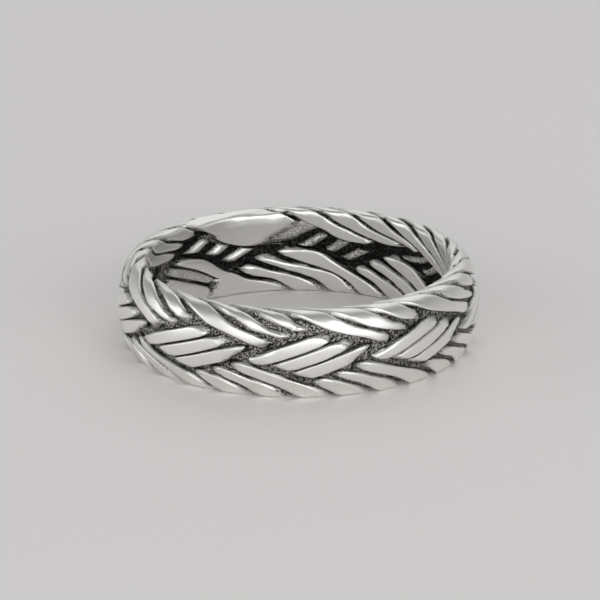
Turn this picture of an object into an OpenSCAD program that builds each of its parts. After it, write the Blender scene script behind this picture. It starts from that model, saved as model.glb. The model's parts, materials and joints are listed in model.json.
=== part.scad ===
// Domed finger ring: one flat strand of three wires, braided round into a four-lead band and cast in one piece

/* [Band] */
// Diameter of the bore that the finger goes through
bore_d = 18.1; // [16:0.1:20]
// Thickness of the band at the middle, from the bore to the outer face
wall_t = 1.8; // [1.6:0.1:2.2]
// Height of the band along its axis
band_h = 5.3; // [4.8:0.1:6]
// Fall of the outer face from the middle of the band to its rims
dome_d = 0.7; // [0.2:0.1:0.9]

/* [Braid] */
// Times that the strand turns over each rim
bights = 9; // [5:2:9]
// Turn of the whole braid about the band's axis, in degrees
braid_turn = -16.5; // [-20:0.5:20]
// Depth of the recesses between strands
recess_d = 0.6; // [0.5:0.05:0.7]
// Depth of the grooves between the three wires of a strand
groove_d = 0.3; // [0.2:0.05:0.4]
// How far the short ribs on the inside lie below the bore
rib_drop = 0.3; // [0:0.05:0.3]

/* [Plate] */
// Where the lowest point of the smooth plate inside lies, in degrees from the front
plate_at = 201; // [190:1:210]
// Angle that the plate takes up round the bore
plate_a = 45; // [30:1:50]
// Height of the plate's lowest point over the middle of the band
plate_low = 0.45; // [0.3:0.05:0.8]

/* [Hidden] */

bore_r = bore_d / 2;
mid_r = bore_r + wall_t / 2;
half_h = band_h / 2;

// Metal that stands into the bore before it is cut round
stock = 0.06;
// Height of the wires' tops over the middle of the wall, before that cut
top = wall_t / 2 + stock;

// The skin of the band is taken as rolled out flat and measured in strand widths: 8 of them round the
// band's section, and 2 along the rim for each bight. Two sets of slanted lines cross on it. A strand
// that wraps a rim runs along one set, and a short one in a middle row runs along the other.
bight_angle = 360 / bights;
section_w = 8;

// Places of the lines across one strand: its edge, then a wire's two top edges and the groove after it
edge_w = 0.07;
groove_w = 0.047;
wires = 3;
lines = [
    0, edge_w, 1 / 3 - groove_w,
    1 / 3, 1 / 3 + groove_w, 2 / 3 - groove_w,
    2 / 3, 2 / 3 + groove_w, 1 - edge_w];
n = len(lines);
wire_lines = n / wires;

// Share of its full height that a wire has at its end and at the next two lines
tip = [0, 0.25, 0.92];

// Height of the centre of a rim's round, and how far the skin climbs for each strand width
rim_z = half_h - wall_t / 2;
turn_r = (wall_t - recess_d) / 2;
climb = (rim_z + turn_r * PI / 2) / 2;
// Strand widths from the top of the rim to the end of its round
turn_w = turn_r * PI / 2 / climb;
// How far the rim's round is filled out before it is levelled off at the band's height
crown = 1.12;

function wrap(v, size) = v - size * floor(v / size);
function place(i) = floor(i / n) + lines[wrap(i, n)];

// Radius and height of a point of the section, u strand widths from the top of the rim by way of the
// bore, and rise above the middle of the wall. The outer side is pulled in towards the rims as a dome.
function section(u, rise) =
    let (w = wrap(u, section_w),
         side = w > section_w / 2 ? 1 : -1,
         v = min(w, section_w - w),
         end = v < 2 ? 1 : -1,
         from_rim = min(v, 4 - v),
         lean = 90 * min(1, from_rim / turn_w),
         fall = max(0, from_rim - turn_w) * climb,
         out = side * rise * sin(lean),
         z = end * min(half_h, rim_z - fall + crown * rise * cos(lean)))
    [mid_r + out - dome_d * (out / wall_t + 0.5) * pow(z / half_h, 2), z];

// The plate is a leaf that hangs from the top rim: its long edge takes 0.6 of the angle, and its short
// edge the rest, where it still reaches 0.6 of the way down
plate_u = turn_w + (rim_z - plate_low) / climb;
function plated(a, u) =
    let (x = (a - plate_at) / plate_a)
    u >= 0 && x > -0.4 && u < plate_u * (x > 0 ? 1 - x / 0.6 : 1 + x);

// Height of the skin over the middle of the wall, where line i of one set meets line j of the other
function height(i, j) =
    let (tile = wrap(floor(j / n) - floor(i / n), section_w),
         short = tile % 4 == 2,
         across = wrap(short ? i : j, n),
         along = short ? wrap(j, n) : wrap(i, n) + n * [1, 0, 0, 2][tile % 4],
         from_end = min(along, (short ? n : 3 * n) - along),
         drop = tile == 2 ? rib_drop : 0,
         depth = across == 0 ? recess_d : across % wire_lines == 0 ? groove_d + drop / 2 : drop,
         share = from_end < len(tip) ? tip[from_end] : 1)
    top - recess_d + (recess_d - depth) * share;

// Vertex s of row r. The rows go round the section, and the vertices of a row go round the band.
function vertex(r, s) =
    let (i = s - floor(r / 2),
         j = s + ceil(r / 2),
         p = place(i),
         q = place(j),
         a = bight_angle / 2 * (p + q) + braid_turn,
         point = section(q - p, plated(a, q - p) ? top : height(i, j)))
    [point[0] * sin(a), -point[0] * cos(a), point[1]];

// The whole braid as one closed skin
module weave() {
    rows = section_w * n;
    cols = bights * n;
    points = [for (r = [0 : rows - 1], s = [0 : cols - 1]) vertex(r, s)];
    faces = [for (r = [0 : rows - 1], s = [0 : cols - 1])
        let (at = r * cols + s,
             next = r * cols + (s + 1) % cols,
             apex = (s + r % 2) % cols,
             above = (r + 1) % rows * cols + apex,
             below = (r + rows - 1) % rows * cols + apex)
        each [[at, below, next], [at, next, above]]];
    polyhedron(points, faces);
}

module braided_band() {
    color([0.80, 0.79, 0.77])
        difference() {
            weave();
            cylinder(h = band_h * 2, r = bore_r, center = true, $fn = 180);
        }
}

braided_band();
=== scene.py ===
import json
import math
from types import SimpleNamespace

import bpy
import numpy as np
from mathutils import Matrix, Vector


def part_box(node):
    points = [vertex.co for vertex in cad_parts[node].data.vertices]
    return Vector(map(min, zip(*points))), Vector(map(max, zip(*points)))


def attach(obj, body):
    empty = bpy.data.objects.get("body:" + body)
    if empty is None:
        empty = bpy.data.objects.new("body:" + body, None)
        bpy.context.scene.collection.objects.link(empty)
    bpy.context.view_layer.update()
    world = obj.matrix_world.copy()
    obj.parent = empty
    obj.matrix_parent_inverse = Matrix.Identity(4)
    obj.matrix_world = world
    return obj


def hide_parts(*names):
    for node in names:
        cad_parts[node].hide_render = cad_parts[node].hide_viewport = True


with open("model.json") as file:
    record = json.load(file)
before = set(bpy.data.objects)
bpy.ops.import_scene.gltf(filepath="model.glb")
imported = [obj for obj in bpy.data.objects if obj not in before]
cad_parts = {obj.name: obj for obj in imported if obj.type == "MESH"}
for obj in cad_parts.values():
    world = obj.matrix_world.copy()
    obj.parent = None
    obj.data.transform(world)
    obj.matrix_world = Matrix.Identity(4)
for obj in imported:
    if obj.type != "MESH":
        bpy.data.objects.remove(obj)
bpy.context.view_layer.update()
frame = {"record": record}        # one body, root, with one node, braided_band

MM = 0.001

# Band, in millimetres. The bore's radius is its mount's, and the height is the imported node's.
NODE = "braided_band"
BORE_R = frame["record"]["mounts"][0]["dims"]["r_mm"]
HALF_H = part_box(NODE)[1].z / MM
WALL = 1.8
DOME = 0.7
MID_R = BORE_R + WALL / 2

# Braid, as the part's source lays it out. The skin is rolled out flat and measured in strand widths: 8 round
# the band's section, and 2 along the rim for each turn of the strand over it. A point has two numbers, p and
# q, and the strands' edges are where these are whole. Its angle from the front goes by p + q. Its place round
# the section, u, is q - p: 0 on the crest of the top rim, 2 in the middle inside, 4 on the crest of the
# bottom rim and 6 in the middle outside.
# A tile is the square between whole numbers, and its number is floor(q) - floor(p), from 0 to 7. Tiles 2 and
# 6 hold the short strands of the middle rows. A wrap, the strand's long stretch over a rim, has tiles 1, 0
# and 7 at the top, from the inside out, and tiles 5, 4 and 3 at the bottom, from the outside in. A wrap's
# number is the whole part of q, and a short strand's that of p.

# Turns over each rim, strand widths round the section, turn of the braid in degrees, and wires in a strand
BIGHTS = 9
SECTION = 8
TURN = -16.5
WIRES = 3
# Lowest p + q in the round of the ring that the places below are given in
FIRST_SUM = 2

# Height of the centre of a rim's round, the round's radius half way down the recesses, how far the skin
# climbs for each strand width, and the strand widths from a rim's crest to the end of its round
RIM_Z = HALF_H - WALL / 2
TURN_R = 0.6
CLIMB = (RIM_Z + TURN_R * math.pi / 2) / 2
TURN_W = TURN_R * math.pi / 2 / CLIMB
# How much further out the skin stands half way round a rim, inside and at the bottom, and outside at the top
SQUARING = 0.24
TOP_SQUARING = 0.10

# Places of the mesh lines across one wire, from one groove's middle to the next, close together at its edges
WIRE_LINES = np.array([-1, -0.96, -0.90, -0.82, -0.70, -0.56, -0.30, 0.30, 0.56, 0.70, 0.82, 0.90])

# Bend of the strands off their even places, by the place round the section: wraps is the shift across the
# strands that wrap the rims, and shorts the share of LEAN by which the short strands are shifted
BEND = np.array([
    # place, wraps, shorts
    [0.0, 0.21, 0.0],
    [0.8, 0.19, 0.8],
    [1.2, 0.17, 1.25],
    [1.6, 0.08, 1.15],
    [2.0, -0.08, 0.95],
    [2.4, -0.19, 0.8],
    [3.0, -0.19, 0.6],
    [4.0, -0.15, 0.0],
    [5.0, -0.12, 0.0],
    [5.97, -0.13, 0.0],
    [6.15, 0.25, 0.0],
    [6.5, 0.29, 0.0],
    [7.0, 0.23, 0.0],
])

# Shift of the short strands inside, by the angle from the front
LEAN = np.array([
    # angle, shift
    [90, 0.00],
    [108, 0.10],
    [128, -0.06],
    [149, 0.25],
    [176, 0.08],
    [194, 0.34],
    [225, 0.38],
    [240, 0.45],
    [290, 0.00],
])

# Places where the hand that made the braid pushed a wire aside, with how far round them this reaches
NUDGES = (
    # p, q, reach of p, reach of q, shift of p, shift of q
    (5.60, 7.10, 0.35, 0.30, 0.0, 0.20),
    (4.05, 7.15, 0.40, 0.30, 0.0, 0.18),
    (3.60, 5.98, 0.35, 0.14, 0.0, -0.10),
    (5.05, 7.20, 0.30, 0.35, 0.15, 0.10),
    (3.65, 7.10, 0.20, 0.20, 0.0, 0.12),
    (3.75, 6.60, 0.45, 0.28, 0.0, 0.13),
    (3.00, 6.45, 0.35, 0.20, 0.0, -0.10),
    (3.20, 4.30, 0.30, 0.30, 0.0, -0.14),
    (3.50, 5.00, 0.35, 0.20, 0.0, 0.10),
    (4.45, 5.90, 0.45, 0.45, 0.0, 0.26),
    (4.10, 7.50, 0.35, 0.30, 0.10, -0.07),
    (6.20, 6.55, 0.70, 0.60, 0.0, 0.16),
    (5.45, 11.10, 0.45, 0.28, 0.0, -0.15),
    (2.60, 5.08, 0.45, 0.22, 0.0, -0.12),
)

# Row of the braid that a tile belongs to. The other two tiles are the rims' crests.
ROW_OF = {
    1: "inside_top",
    2: "inside_ribs",
    3: "inside_bottom",
    5: "outside_bottom",
    6: "outside_middle",
    7: "outside_top",
}

# Tips of the wires, row by row. gap is how far a tip stays back from the strand that crosses it, slant how
# much further its right-hand edge does (or its left-hand one, where it is negative), and dip the length over
# which the wire dives by sink and loses pinch of its width. Lengths here and below are in strand widths, and
# depths in millimetres.
START_TIPS = {
    # row: gap, slant, dip, sink, pinch
    "inside_top": (0.04, 0.00, 0.24, 0.08, 1.0),
    "inside_ribs": (0.12, 0.00, 0.10, 0.10, 0.4),
    "outside_bottom": (0.00, -0.08, 0.34, 0.10, 0.6),
    "outside_middle": (0.03, 0.02, 0.14, 0.03, 0.8),
}
END_TIPS = {
    # row: gap, slant, dip, sink, pinch
    "inside_bottom": (0.05, 0.00, 0.20, 0.08, 0.9),
    "inside_ribs": (0.10, 0.00, 0.10, 0.10, 0.4),
    "outside_top": (0.03, 0.14, 0.48, 0.08, 0.7),
    "outside_middle": (0.02, 0.04, 0.20, 0.08, 0.7),
}
# Where a tile has no tip, the nearest one is far off
NO_TIP = (-9, 0, 1, 0, 0)

# How much further back the tips of a strand's three wires stay, by the tile, from the strand's first edge on
START_BACK = {2: (0.20, 0.00, 0.00), 6: (0.00, 0.12, 0.06)}
END_BACK = {6: (0.14, 0.14, 0.00)}
# The same for single wraps of the top rim at their start, by the wrap's number
WRAP_BACK = {4: (0.0, 0.1, 0.2), 6: (0.35, 0.15, 0.1)}

# Share of its place that a wire fills near its tip, for the three wires of a strand
TIP_WIDTH = {
    "inside_top": (0.92, 0.92, 0.92),
    "inside_ribs": (0.50, 0.50, 0.50),
    "inside_bottom": (0.78, 0.68, 0.72),
    "outside_bottom": (0.84, 0.80, 0.86),
    "outside_middle": (0.95, 0.95, 0.99),
    "outside_top": (0.97, 0.80, 0.80),
}
# The same for single wraps, by the wrap's number and the tile
ODD_WIDTH = {
    (6, 1): (0.86, 0.80, 0.84),
    (5, 3): (0.95, 0.74, 0.76),
    (6, 3): (0.97, 0.58, 0.78),
    (7, 3): (0.97, 0.92, 0.92),
    (8, 7): (0.90, 0.65, 0.66),
    (0, 7): (0.84, 0.84, 0.86),
}
# Share that it fills on the crests, and inside away from its tip, with the length of the change towards a tip
CREST_WIDTH = 0.95
INNER_WIDTH = 0.92
WIDENING = 0.75
# How far a wire is pinched on the crest of the top rim, where, and how far round
CREST_PINCH = 0.11
PINCH_AT = -0.05
PINCH_REACH = 0.18

# How much a wire's width swells, and its middle wanders, as shares of half its place
SWELL = 0.03
WANDER = 0.035
# Shift of the wander's swells against those of the width
WANDER_P = 2.3
WANDER_Q = -1.7
# The slow swells: how often each comes round along the rim and round the section, and its start
SWELLS = ((25, -4, 0.0), (-9, 9, 1.3), (16, 11, 2.1), (31, 3, 4.4))

# Shoulder of a wire as a share of half its place, the power of its curve, and the length of the step at a tip
SHOULDER = 0.14
SHOULDER_POWER = 2.4
TIP_STEP = 0.035
# Height of the arch of a wire's top, inside and outside
INNER_ARCH = 0.07
OUTER_ARCH = 0.02

# Where the outer side begins, coming from the inside over the top rim and the bottom one, with the lengths of
# these changes, and the soft step at a wrap's edges
TOP_CREST = 0.5
TOP_RUN = 1.0
BOTTOM_CREST = 3.6
BOTTOM_RUN = 0.9
EDGE_SOFT = 0.05

# Depth of the recesses inside and outside, and of the grooves between wires, which deepen near a tip
RECESS = 0.6
OUTER_RECESS = 0.4
GROOVE = 0.36
GROOVE_RUN = 0.5
# How far the ribs inside lie below the bore, and the short strand whose ribs are worn away to bare ground
RIB_DROP = 0.3
WORN_STRAND = 5

# The wrap with a sunk middle wire at the back left, the stretch of p where its three wires run together with
# the soft steps at both ends, and how far that wire lies down
LOOP_STRAND = 7
MERGED = (3.1, 4.0)
MERGED_SOFT = (0.12, 0.02)
SUNK_DROP = 0.2
# Gap between the merged stretch and the sunk wire's tip, and that tip's values in the tables' order
SUNK_GAP = 0.005
SUNK_TIP = (SUNK_GAP, 0.00, 0.12, 0.04, 0.9)
# The small hollow at that tip: its place, its reach and its depth
HOLLOW_P = MERGED[1] - 0.03
HOLLOW_Q = 7.62
HOLLOW_REACH_P = 0.035
HOLLOW_REACH_Q = 0.12
HOLLOW_DEPTH = 0.35
# Depth of metal where the wires are filled in
LEVEL = 0.02

# The wrap whose wires are filled in as the plate, inside the top rim
PLATE_STRAND = 5
# Where its level metal begins, outside the crest, and how far its end lies from the wrap's start, each with
# its soft step
PLATE_START = -0.60
PLATE_START_SOFT = 0.35
PLATE_END = 0.11
PLATE_END_SOFT = 0.16
# Place across the wrap up to which that end is cut askew, and how much further on it lies for each strand
# width before that place
PLATE_SQUARE = 0.72
PLATE_ASKEW = 0.50
# Fall of the plate over a stretch before its end
PLATE_FALL = 0.12
PLATE_RUN = 0.3
# The crest over the plate: half the depth of its waves, their speed in radians for each strand width, and
# their reach, then how far it is rounded off, where, and the reach of that
WAVE = 0.045
WAVE_SPEED = 9
WAVE_REACH = 0.35
ROUNDING = 0.10
ROUNDING_AT = 0.14
ROUNDING_REACH = 0.24
# Sandy metal at the plate's end and along its lower edge: the depth at the end, and the limits, each with its
# soft step, before the plate's end, from the wrap's start, and across the wrap at the edge
SAND_DEPTH = 0.32
SAND_END = 0.04
SAND_END_SOFT = 0.12
SAND_START = 0.06
SAND_START_SOFT = 0.1
SAND_EDGE = 0.95
SAND_EDGE_SOFT = 0.06

# Soot: the depth below a wire's top where it begins, the depth over which it thickens, and how far from a
# wire's wall it thins out
SOOT_START = 0.08
SOOT_RANGE = 0.16
SOOT_REACH = 0.14
# Share of it that stays on open ground, away from the wires' walls: outside, at the back left inside, and
# where ribs are worn away
OUTSIDE_SOOT = 0.42
LEFT_SOOT = 0.4
WORN_SOOT = 0.4
# Angles of the back left, from the front, and their soft step
BACK_LEFT = (218, 300)
BACK_LEFT_SOFT = 14
# Share of the soot that is rubbed off the plate and the sandy metal, off the hollow, and off a bare band at
# the first end of the ribs past the back
PLATE_BARE = 0.9
HOLLOW_BARE = 0.4
BAND_BARE = 0.6
# Length of that band with its soft step, and the angle where it comes in, with how many degrees it takes
BAND = 0.2
BAND_SOFT = 0.08
BAND_ANGLE = 190
BAND_TURN = 10

# Depth below a wire's top where polish ends, as a share of SOOT_START. It fades over one SOOT_START.
POLISH_END = 1.4
# Polish of the ribs, how much more they have past the back, and the angle where that comes in, with how many
# degrees it takes. This is partly painted shade: the ribs before the back, on the right, get less polish and
# so a darker colour, for their sandier finish and also for the shade on them, and those past the back a paler
# one.
RIB_POLISH_AND_SHADE = 0.3
MORE_RIB_POLISH_AND_LIGHT = 0.5
RIB_ANGLE = 180
RIB_TURN = 20
# Polish of the sunk wire and of sandy metal, and the share of any polish that is lost on sandy metal
SUNK_POLISH = 0.6
SAND_POLISH = 0.4
SAND_DULL = 0.35


def smooth(x):
    """0 below 0, 1 above 1, and a soft step between: three times the square less twice the cube."""
    x = np.clip(x, 0, 1)
    return x * x * (3 - 2 * x)


def window(x, low, high, soft):
    """1 between low and high, and 0 outside them, with soft steps of the given length inside the ends."""
    return smooth((x - low) / soft) * smooth((high - x) / soft)


def angle_at(p, q):
    """Angle from the front, in degrees: 20 for each strand width of p and of q, and the turn of the braid."""
    return 180 / BIGHTS * (p + q) + TURN


def unrolled(p, q):
    """The same point of the skin with q - p from -1 to 7, as a point comes round again after a section."""
    loops = np.floor((q - p + 1) / SECTION)
    return p + SECTION / 2 * loops, q - SECTION / 2 * loops


def bent(p, q):
    """Where a point of the even braid lies once the strands are bent.

    Between the tables' rows the shift changes in straight lines, and a nudge fades as a bell curve."""
    p, q = unrolled(p, q)
    wraps = np.interp(q - p, BEND[:, 0], BEND[:, 1], period=SECTION)
    shorts = np.interp(q - p, BEND[:, 0], BEND[:, 2], period=SECTION)
    new_p = p + shorts * np.interp(angle_at(p, q), LEAN[:, 0], LEAN[:, 1], period=360)
    new_q = q + wraps
    for at_p, at_q, reach_p, reach_q, shift_p, shift_q in NUDGES:
        rounds = BIGHTS * np.round((p + q - at_p - at_q) / (2 * BIGHTS))
        near = np.exp(-((p - rounds - at_p) / reach_p) ** 2 - ((q - rounds - at_q) / reach_q) ** 2)
        new_p = new_p + shift_p * near
        new_q = new_q + shift_q * near
    return new_p, new_q


def section(u, rise):
    """Radius and height of a point of the band's section.

    u runs round the section in strand widths, from the crest of the top rim by way of the bore. A side is
    straight and a rim is an arc: the point stands off the arc's centre, or the wall's middle line, by rise.
    The rims are squared: rise grows by the sine of twice the angle round the arc, raised to the fourth power,
    or only squared outside at the top. The outer side is then drawn in by the square of its height, which
    makes the dome."""
    w = np.mod(u, SECTION)
    side = np.where(w > SECTION / 2, 1, -1)
    v = np.minimum(w, SECTION - w)
    end = np.where(v < SECTION / 4, 1, -1)
    from_rim = np.minimum(v, SECTION / 2 - v)
    lean = math.pi / 2 * np.minimum(1, from_rim / TURN_W)
    fall = np.maximum(0, from_rim - TURN_W) * CLIMB
    bow = np.sin(2 * lean)
    rise = rise * (1 + np.where((side < 0) | (end < 0), SQUARING * bow ** 4, TOP_SQUARING * bow ** 2))
    out = side * rise * np.sin(lean)
    z = end * (RIM_Z - fall + rise * np.cos(lean))
    r = MID_R + out - DOME * (out / WALL + 0.5) * (z / HALF_H) ** 2
    return r, z


def waver(p, q):
    """A slow swell from -1 to 1: the mean of sines of p + q and q - p that close up all round the skin."""
    total = 0
    for along_rim, round_section, start in SWELLS:
        rim_turns = along_rim * (p + q) / BIGHTS
        section_turns = round_section * (q - p) / (SECTION / 2)
        total = total + np.sin(math.pi * (rim_turns + section_turns) + start)
    return total / len(SWELLS)


def tip_rows(tips):
    """The tips' values by tile."""
    return np.array([tips.get(ROW_OF.get(tile), NO_TIP) for tile in range(SECTION)])


def by_wire(size, rows):
    """The three wires' values by number, with zeros where the table has no row."""
    table = np.zeros((size, WIRES))
    for number, values in rows.items():
        table[number] = values
    return table


def wire_widths():
    """The widths by wrap, tile and wire: the row's, unless the wrap has its own."""
    widths = np.full((BIGHTS, SECTION, WIRES), CREST_WIDTH)
    for tile, row in ROW_OF.items():
        widths[:, tile] = TIP_WIDTH[row]
    for wrap_and_tile, values in ODD_WIDTH.items():
        widths[wrap_and_tile] = values
    return widths


def place_on_strands(p, q):
    """Where the points lie on the strands, as arrays by name.

    part_p and part_q are what p and q are past whole numbers. A short strand runs along q and a wrap along p,
    and along is the distance from its start. wire counts the strand's wires, and t runs from -1 to 1 across
    one. u is q - p from -2 to 6. outer_side is how much of a rim's outer side the place is on, and edge_free
    is 0 at a wrap's edges and 1 away from them. turn_p and turn_q are p and q in the round of the ring in
    which their sum is 2 to 20."""
    p, q = unrolled(p, q)
    tile = np.mod(np.floor(q) - np.floor(p), SECTION).astype(int)
    short = tile % 4 == 2
    part_p = p - np.floor(p)
    part_q = q - np.floor(q)
    strand = np.mod(np.where(short, np.floor(p), np.floor(q)), BIGHTS).astype(int)
    across = np.where(short, part_p, part_q) * WIRES
    wire = np.clip(np.floor(across), 0, WIRES - 1).astype(int)
    # A wrap's tiles leave 1, 0 and 3 over when they are divided by 4, in its order, and a short strand's 2
    tiles_before = np.array([1, 0, 0, 2])[tile % 4]
    u = np.mod(q - p + 2, SECTION) - 2
    rounds = BIGHTS * np.round((p + q - FIRST_SUM - BIGHTS) / (2 * BIGHTS))
    over_top = smooth((TOP_CREST - u) / TOP_RUN)
    over_bottom = smooth((u - BOTTOM_CREST) / BOTTOM_RUN)
    at = SimpleNamespace(p=p, q=q, part_p=part_p, part_q=part_q, tile=tile, short=short, strand=strand,
                         wire=wire, u=u, turn_p=p - rounds, turn_q=q - rounds)
    at.t = 2 * (across - wire) - 1
    at.along = np.where(short, part_q, part_p + tiles_before)
    at.length = np.where(short, 1, 3)
    at.outer_side = np.where(u < 2, over_top, over_bottom)
    at.edge_free = smooth((0.5 - np.abs(part_q - 0.5)) / EDGE_SOFT)
    at.angle = np.mod(angle_at(p, q), 360)
    at.inside = (tile >= 1) & (tile <= 3)
    at.ribs = tile == 2
    at.worn = at.ribs & (strand == WORN_STRAND)
    at.plate = (strand == PLATE_STRAND) & (tile <= 1)
    at.low_plate = at.plate & (tile == 1)
    at.loop = (strand == LOOP_STRAND) & (tile >= 3) & (tile <= 4)
    at.sunk_wire = at.loop & (wire == 1) & (at.turn_p > MERGED[1])
    return at


def past_tip(at, distance, tip):
    """How far a point is past a tip: its distance along the strand, less the gap, and less the slant times
    the share of the way across the wire."""
    gap, slant = tip[..., 0], tip[..., 1]
    return distance - gap - np.abs(slant) * (1 + np.sign(slant) * at.t) / 2


def nearer_tip(at):
    """The distance past a wire's nearer tip, and that tip's dip, sink and pinch."""
    first = tip_rows(START_TIPS)[at.tile]
    last = tip_rows(END_TIPS)[at.tile]
    start = past_tip(at, at.along, first) - by_wire(SECTION, START_BACK)[at.tile, at.wire]
    start = start - np.where(at.tile == 1, by_wire(BIGHTS, WRAP_BACK)[at.strand, at.wire], 0)
    start = np.where(at.sunk_wire, at.turn_p - MERGED[1] - SUNK_GAP, start)
    end = past_tip(at, at.length - at.along, last) - by_wire(SECTION, END_BACK)[at.tile, at.wire]
    tip = np.where((start < end)[..., None], first, last)
    tip = np.where(at.sunk_wire[..., None], SUNK_TIP, tip)
    return np.minimum(start, end), tip[..., 2], tip[..., 3], tip[..., 4]


def half_width(at, near, fade, pinch):
    """Half a wire's width, as a share of half its place.

    A wrap's wire has its row's width all along a rim's outer side. Inside it takes that width by a soft step
    towards its tip. At the tip any wire narrows by the curve of a quarter ellipse. On the crest of the top
    rim it is pinched by a bell curve."""
    widths = wire_widths()
    # Where u is below -1, unrolled() has moved the wrap's number up by half a section
    wrap = np.mod(at.strand - SECTION // 2 * (at.u < -1), BIGHTS)
    outer_width = widths[wrap, np.where(at.u < 2, 7, 5), at.wire]
    tip_width = widths[at.strand, at.tile, at.wire]
    inner_width = INNER_WIDTH + (tip_width - INNER_WIDTH) * smooth((1 - near) / WIDENING)
    full = np.where(at.short, tip_width, inner_width + (outer_width - inner_width) * at.outer_side)
    half = full * (1 - pinch * (1 - np.sqrt(1 - fade ** 2))) * (1 - SWELL + SWELL * waver(at.p, at.q))
    return half - CREST_PINCH * np.exp(-((at.u - PINCH_AT) / PINCH_REACH) ** 2)


def ground(at, near):
    """Depth of the ground beside a wire: the recess at a strand's edges and between ribs, and elsewhere the
    groove, which goes down to the recess by a soft step at the wires' tips."""
    recess = RECESS + (OUTER_RECESS - RECESS) * at.outer_side
    groove = recess + (GROOVE - recess) * smooth(near / GROOVE_RUN)
    at_edge = ((at.wire == 0) & (at.t < 0)) | ((at.wire == WIRES - 1) & (at.t > 0))
    return np.where(at_edge | at.ribs, recess, groove)


def with_plate(at, depth, base):
    """The skin's depth and base with the plate in it, the share of level metal, and those of sandy metal at
    the plate's end and in all.

    The plate is level, with a crest that is lowered by two bell curves, one of them wavy. It falls by a soft
    step to an end that is cut askew, and the metal past the end and along its lower edge is sandy."""
    askew = PLATE_ASKEW * np.clip(PLATE_SQUARE - at.part_q, 0, 1)
    from_end = np.where(at.tile == 1, at.part_p - PLATE_END - askew, 1)
    crest = WAVE * (1 + np.sin(WAVE_SPEED * at.turn_p)) * np.exp(-(at.u / WAVE_REACH) ** 2)
    crest = crest + ROUNDING * np.exp(-((at.u - ROUNDING_AT) / ROUNDING_REACH) ** 2)
    level = at.plate * at.edge_free
    level = level * smooth((at.u - PLATE_START) / PLATE_START_SOFT) * smooth(from_end / PLATE_END_SOFT)
    fall = PLATE_FALL * (1 - smooth(from_end / PLATE_RUN))
    depth = depth * (1 - level) + (LEVEL + crest + fall) * level
    sandy_end = at.low_plate * (1 - smooth((from_end - SAND_END) / SAND_END_SOFT))
    sandy_end = sandy_end * smooth((at.part_p - SAND_START) / SAND_START_SOFT)
    sandy_edge = at.low_plate * (1 - smooth((SAND_EDGE - at.part_q) / SAND_EDGE_SOFT))
    depth = depth + (np.minimum(depth, SAND_DEPTH) - depth) * sandy_end
    return depth, base + crest * level, level, sandy_end, np.maximum(sandy_end, sandy_edge)


def with_loop(at, depth):
    """The skin's depth where three wires run together, and the share of the hollow at the sunk wire's tip.

    The merged stretch is level between two soft steps, and the hollow is a bell curve."""
    begins = smooth((at.turn_p - MERGED[0]) / MERGED_SOFT[0])
    ends = smooth((MERGED[1] + SUNK_GAP - at.turn_p) / MERGED_SOFT[1])
    merged = at.loop * begins * ends * at.edge_free
    depth = depth * (1 - merged) + LEVEL * merged
    from_p = (at.turn_p - HOLLOW_P) / HOLLOW_REACH_P
    from_q = (at.turn_q - HOLLOW_Q) / HOLLOW_REACH_Q
    hollow = np.exp(-from_p ** 2 - from_q ** 2) * at.loop
    return depth + np.maximum(HOLLOW_DEPTH - depth, 0) * hollow, hollow


def relief(p, q):
    """Depth of the skin under the tops of the strands, its polish, and its share of soot.

    A wire's top is a low arch, by the square of the place across it, and its shoulders fall off by a power
    curve. Towards its tip it narrows and dives, by the square of the distance, under the strand that crosses
    it. Soot thickens with depth by a soft step, and polish goes with depth by another. The ribs' lower polish
    on the right, before the back, is partly painted shade."""
    at = place_on_strands(p, q)
    near, dip, sink, pinch = nearer_tip(at)
    fade = np.clip(1 - near / dip, 0, 1)
    half = half_width(at, near, fade, pinch)
    from_middle = np.abs(at.t + WANDER * waver(at.p + WANDER_P, at.q + WANDER_Q))
    from_shoulder = 1 - np.clip((half - from_middle) / SHOULDER, 0, 1)
    body = (1 - from_shoulder ** SHOULDER_POWER) * smooth(near / TIP_STEP)
    body = np.where(at.low_plate | at.worn, 0, body)

    base = RIB_DROP * at.ribs + SUNK_DROP * at.sunk_wire
    arch = INNER_ARCH + (OUTER_ARCH - INNER_ARCH) * at.outer_side
    top = base + arch * at.t ** 2 + sink * fade ** 2
    depth = top + (ground(at, near) - top) * (1 - body)
    depth, base, level, sandy_end, sandy = with_plate(at, depth, base)
    depth, hollow = with_loop(at, depth)

    # Soot is thickest along a wire's walls, and thin on the open ground away from them
    below = depth - base
    from_wall = np.maximum(np.abs(at.t) - half, -near)
    left_soot = 1 + (LEFT_SOOT - 1) * window(at.angle, *BACK_LEFT, BACK_LEFT_SOFT)
    open_soot = np.where(at.inside, left_soot, OUTSIDE_SOOT) * np.where(at.worn, WORN_SOOT, 1)
    soot = smooth((below - SOOT_START) / SOOT_RANGE) * (1 + (open_soot - 1) * smooth(from_wall / SOOT_REACH))
    soot = soot * (1 - PLATE_BARE * np.maximum(level, sandy)) * (1 - HOLLOW_BARE * hollow)
    band = at.ribs * smooth((BAND - at.part_q) / BAND_SOFT) * smooth((at.angle - BAND_ANGLE) / BAND_TURN)
    soot = soot * (1 - BAND_BARE * band)

    # Duller, darker ribs before the back: partly their sandier finish, partly painted shade
    rib_polish_and_shade = RIB_POLISH_AND_SHADE + MORE_RIB_POLISH_AND_LIGHT * smooth((at.angle - RIB_ANGLE) / RIB_TURN)
    full_polish_and_rib_shade = np.where(at.ribs, rib_polish_and_shade, np.where(at.sunk_wire, SUNK_POLISH, 1))
    polish = full_polish_and_rib_shade * smooth(POLISH_END - below / SOOT_START)
    polish = np.maximum(polish * (1 - SAND_DULL * sandy), SAND_POLISH * sandy_end)
    return depth, polish, soot


# Height of the grit on unpolished metal, in millimetres, and the seed of its random draw
GRIT = 0.012
GRIT_SEED = 5


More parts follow.
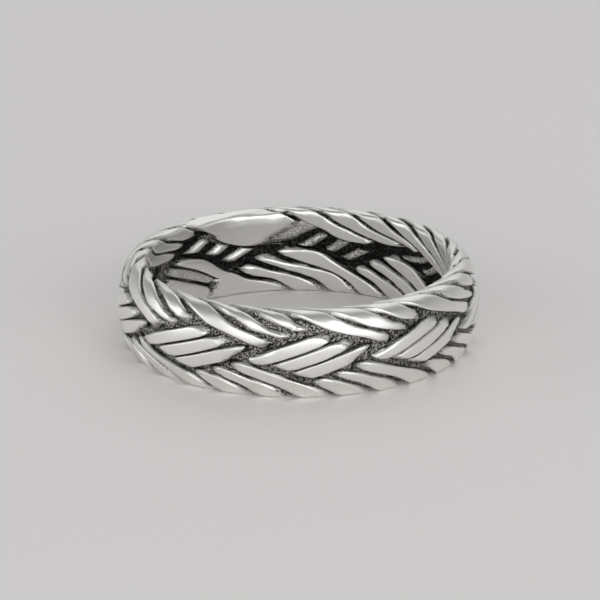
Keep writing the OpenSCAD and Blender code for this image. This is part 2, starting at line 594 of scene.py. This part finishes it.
def braid_skin():
    """The band's whole skin as one closed mesh.

    The grid is one ribbon, a strand wide in p, that winds through the band for 72 strand widths of q before
    it meets itself. Row i has one p and column j one q. Row n, where p is 1, is row 0 again, 17 widths back:
    twice round the section, which takes 8 from q, and once round the ring, which takes 9. A point's angle
    goes by p + q, and its place round the section is q - p, both once bent. Unpolished metal has grit, a
    height drawn at random for each point."""
    n = WIRES * len(WIRE_LINES)
    strand = ((np.arange(WIRES)[:, None] + (WIRE_LINES + 1) / 2) / WIRES).ravel()
    length = SECTION * BIGHTS
    ribbon = (np.arange(length)[:, None] + strand).ravel()
    p, q = np.broadcast_arrays(strand[:, None], ribbon[None, :])
    depth, polish, soot = relief(p, q)
    grit = np.random.default_rng(GRIT_SEED).normal(size=depth.shape)
    depth = depth + GRIT * grit * (1 - polish)
    bent_p, bent_q = bent(p, q)
    r, z = section(bent_q - bent_p, WALL / 2 - depth)
    angle = np.radians(angle_at(bent_p, bent_q))
    points = np.stack([r * np.sin(angle), -r * np.cos(angle), z], axis=-1) * MM

    count = length * n
    back = (SECTION + BIGHTS) * n
    i = np.arange(n)[:, None]
    j = np.arange(count)[None, :]
    at = i * count + j
    ahead = i * count + np.mod(j + 1, count)
    above = np.where(i < n - 1, (i + 1) * count + j, np.mod(j - back, count))
    faces = np.stack([at, ahead, np.roll(above, -1, axis=1), above], axis=-1)

    mesh = bpy.data.meshes.new("braid")
    mesh.from_pydata(points.reshape(-1, 3).tolist(), [], faces.reshape(-1, 4).tolist())
    # The polish attribute also carries the ribs' painted shade, lower on the right
    for name, values in (("polish", polish), ("soot", soot)):
        layer = mesh.attributes.new(name, "FLOAT", "POINT")
        layer.data.foreach_set("value", values.ravel().astype(np.float32))
    mesh.shade_smooth()
    mesh.update()
    return mesh


def colour(hex_code):
    """An sRGB hex colour as linear red, green, blue and alpha."""
    s = [int(hex_code[i:i + 2], 16) / 255 for i in (1, 3, 5)]
    return [c / 12.92 if c <= 0.04045 else ((c + 0.055) / 1.055) ** 2.4 for c in s] + [1]


def node(tree, kind, settings=None, **inputs):
    """Adds a node. Settings are its properties. An input is a value or another node's output, and its name is
    the socket's, with _ for a space, or i and the socket's number."""
    made = tree.nodes.new("ShaderNode" + kind)
    for name, value in (settings or {}).items():
        setattr(made, name, value)
    for name, value in inputs.items():
        numbered = name[0] == "i" and name[1:].isdigit()
        socket = made.inputs[int(name[1:]) if numbered else name.replace("_", " ")]
        if isinstance(value, bpy.types.NodeSocket):
            tree.links.new(value, socket)
        else:
            socket.default_value = value
    return made


# Grains to the millimetre, and the height of their bump. Cast silver has a grain of a few hundredths of a
# millimetre. It is drawn as a ninth, coarser than real, so that it shows.
GRAINS = 9
GRAIN_BUMP = 0.06
# The part of the noise over which the grain goes from dark to pale
GRAIN_RANGE = (0.45, 0.58)
# Share of the soot that is rubbed off the grains' tops, and share of the bump that polish takes away
RUBBED = 0.07
SMOOTHED = 0.96
# Roughness of bare cast metal, and of polished metal
CAST_ROUGH = 0.5
POLISHED_ROUGH = 0.37


def oxidised_silver():
    """Sterling silver, cast, blackened and then polished on its high places.

    The polished tops are a warm white with soft reflections. The oxide in the grooves is nearly black and
    dull. Where the polish didn't reach and the oxide is thin, the grain of the casting shows as dark and pale
    specks. Polish and soot are attributes of the mesh."""
    material = bpy.data.materials.new("oxidised_silver")
    material.use_nodes = True
    tree = material.node_tree
    tree.nodes.clear()
    # On the ribs, lower polish on the right is partly painted shade, darkening their colour
    polish = node(tree, "Attribute", {"attribute_name": "polish"}).outputs["Fac"]
    soot = node(tree, "Attribute", {"attribute_name": "soot"}).outputs["Fac"]
    place = node(tree, "TexCoord").outputs["Object"]
    sand = node(tree, "TexNoise", None, Vector=place, Scale=GRAINS / MM, Detail=2.0).outputs["Fac"]
    grain = node(tree, "MapRange", None, Value=sand, From_Min=GRAIN_RANGE[0], From_Max=GRAIN_RANGE[1],
                 To_Min=0.0, To_Max=1.0).outputs["Result"]
    cast = node(tree, "Mix", {"data_type": "RGBA"}, i0=grain)
    cast.inputs["A"].default_value = colour("#4a4744")
    cast.inputs["B"].default_value = colour("#dddbd6")
    rubbed = node(tree, "Math", {"operation": "MULTIPLY"}, i0=grain, i1=-RUBBED).outputs["Value"]
    kept = node(tree, "Math", {"operation": "MULTIPLY_ADD"}, i0=soot, i1=rubbed, i2=soot).outputs["Value"]
    black = node(tree, "Mix", {"data_type": "RGBA"}, i0=kept)
    tree.links.new(cast.outputs["Result"], black.inputs["A"])
    black.inputs["B"].default_value = colour("#181614")
    base = node(tree, "Mix", {"data_type": "RGBA"}, i0=polish)
    tree.links.new(black.outputs["Result"], base.inputs["A"])
    base.inputs["B"].default_value = colour("#f4f3ef")
    rough = node(tree, "MapRange", None, Value=polish, From_Min=0.0, From_Max=1.0,
                 To_Min=CAST_ROUGH, To_Max=POLISHED_ROUGH).outputs["Result"]
    unpolished = node(tree, "Math", {"operation": "MULTIPLY_ADD"}, i0=polish, i1=-SMOOTHED, i2=1.0)
    bump = node(tree, "Bump", None, Strength=unpolished.outputs["Value"], Distance=GRAIN_BUMP * MM,
                Height=sand)
    shader = node(tree, "BsdfPrincipled", None, Metallic=1.0, Roughness=rough, Normal=bump.outputs["Normal"])
    tree.links.new(base.outputs["Result"], shader.inputs["Base Color"])
    out = node(tree, "OutputMaterial")
    tree.links.new(shader.outputs["BSDF"], out.inputs["Surface"])
    return material


def plain(name, hex_code, roughness):
    """A material of one colour, for the floor."""
    material = bpy.data.materials.new(name)
    material.use_nodes = True
    shader = material.node_tree.nodes["Principled BSDF"]
    shader.inputs["Base Color"].default_value = colour(hex_code)
    shader.inputs["Roughness"].default_value = roughness
    return material


def add(name, mesh, material):
    """Puts a mesh into the scene as an object at the origin."""
    piece = bpy.data.objects.new(name, mesh)
    bpy.context.scene.collection.objects.link(piece)
    piece.data.materials.append(material)
    return piece


band = add("braid_casting", braid_skin(), oxidised_silver())
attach(band, "root")
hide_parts(NODE)

# Floor, under the bottom rim, and half its width in metres
FLOOR = 0.5
FLOOR_Z = -HALF_H * MM
corners = [(x * FLOOR, y * FLOOR, FLOOR_Z) for x, y in ((-1, -1), (1, -1), (1, 1), (-1, 1))]
floor_mesh = bpy.data.meshes.new("floor")
floor_mesh.from_pydata(corners, [], [(0, 1, 2, 3)])
floor = add("floor", floor_mesh, plain("pale_floor", "#fbf9f7", 0.6))


def area_light(name, place, width, height, power):
    """A soft rectangular lamp at place, facing the ring, in metres and watts."""
    lamp = bpy.data.lights.new(name, "AREA")
    lamp.shape = "RECTANGLE"
    lamp.size = width
    lamp.size_y = height
    lamp.energy = power
    holder = bpy.data.objects.new(name, lamp)
    bpy.context.scene.collection.objects.link(holder)
    x, y, z = place
    holder.location = place
    holder.rotation_euler = (math.atan2(math.hypot(x, y), z), 0, math.atan2(-y, -x) - math.pi / 2)
    return holder


area_light("overhead", (0.08, 0.24, 0.36), 0.50, 0.50, 0.52)
area_light("key", (0.06, -0.50, 0.22), 1.30, 0.30, 2.0)
area_light("fill", (-0.48, -0.06, 0.12), 0.34, 0.20, 0.30)
area_light("spark", (0.25, -0.38, 0.30), 0.10, 0.10, 0.10)

# The room is paler round the horizon than overhead. Its brightness falls evenly with the height of the
# direction it is seen in, down to OVERHEAD at OVERHEAD_FROM.
HORIZON = 0.53
OVERHEAD = 0.22
OVERHEAD_FROM = 0.7
world = bpy.data.worlds.new("studio")
world.use_nodes = True
room = world.node_tree
height = node(room, "SeparateXYZ", None, Vector=node(room, "TexCoord").outputs["Generated"]).outputs["Z"]
pale = node(room, "MapRange", None, Value=height, From_Min=0.0, From_Max=OVERHEAD_FROM,
            To_Min=HORIZON, To_Max=OVERHEAD)
room.links.new(pale.outputs["Result"], room.nodes["Background"].inputs["Strength"])
room.nodes["Background"].inputs["Color"].default_value = colour("#fdfdff")
bpy.context.scene.world = world
bpy.context.scene.view_settings.view_transform = "Standard"

# Camera, fitted to the photograph: it looks along +Y and down by its elevation. The shift is in pixels.
ELEVATION = math.radians(19.1)
DISTANCE = 0.3472
LENS = 347.9
SENSOR = 36
IMAGE = 600
SHIFT_X = 1.5
SHIFT_Y = -1
lens = bpy.data.cameras.new("camera")
lens.lens = LENS
lens.sensor_width = SENSOR
lens.shift_x = SHIFT_X / IMAGE
lens.shift_y = SHIFT_Y / IMAGE
camera = bpy.data.objects.new("camera", lens)
bpy.context.scene.collection.objects.link(camera)
camera.location = (0, -DISTANCE * math.cos(ELEVATION), DISTANCE * math.sin(ELEVATION))
camera.rotation_euler = (math.pi / 2 - ELEVATION, 0, 0)
bpy.context.scene.camera = camera
